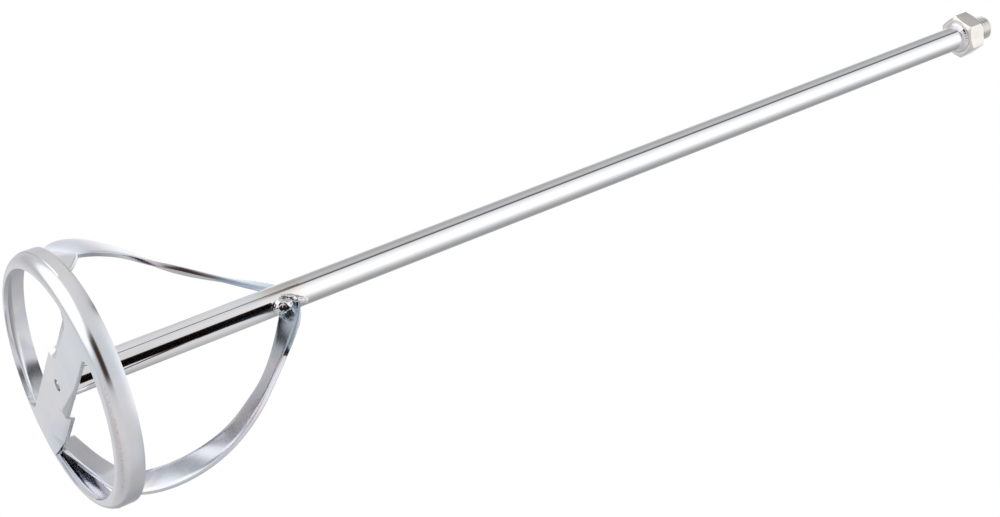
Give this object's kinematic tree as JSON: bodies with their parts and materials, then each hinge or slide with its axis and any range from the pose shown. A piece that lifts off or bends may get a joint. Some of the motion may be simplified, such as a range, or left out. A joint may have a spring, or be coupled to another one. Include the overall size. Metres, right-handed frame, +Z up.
{
  "type": "mortar mixing paddle",
  "caption": "Drill-driven mixing paddle: a pressed ring with a cross bar, twisted flat-bar blades closing onto a round shaft, and a welded hexagon nut with a threaded stud at the drive end.",
  "frame": {"origin": "centre of the ring's lower face, on the shaft's axis", "axes": "+Z up the shaft towards the thread, +X along the cross bar, +Y across it towards the foot of blade B's climb"},
  "size_m": [0.12, 0.1261, 0.59],
  "materials": {
    "pressed_sheet": "zinc-plated pressed sheet, satin, with faint iridescence",
    "blade_bar": "zinc-plated flat bar, satin, mottled",
    "shaft_bar": "bright-drawn and plated round bar, mirror-like",
    "nut": "bright plated nut",
    "weld": "plated weld metal, lumpy and rippled, brown-tinted at its edges"
  },
  "bodies": {
    "root": {"base_stamping": "pressed_sheet", "shaft_rod": "shaft_bar", "hex_nut": "nut", "nut_weld": "weld", "hub_weld": "weld", "blade_a": "blade_bar", "blade_b": "blade_bar", "root_weld_a": "weld", "root_weld_b": "weld", "cap_weld_a": "weld", "cap_weld_b": "weld", "foot_weld_a": "weld", "foot_weld_b": "weld"}
  },
  "joints": []
}
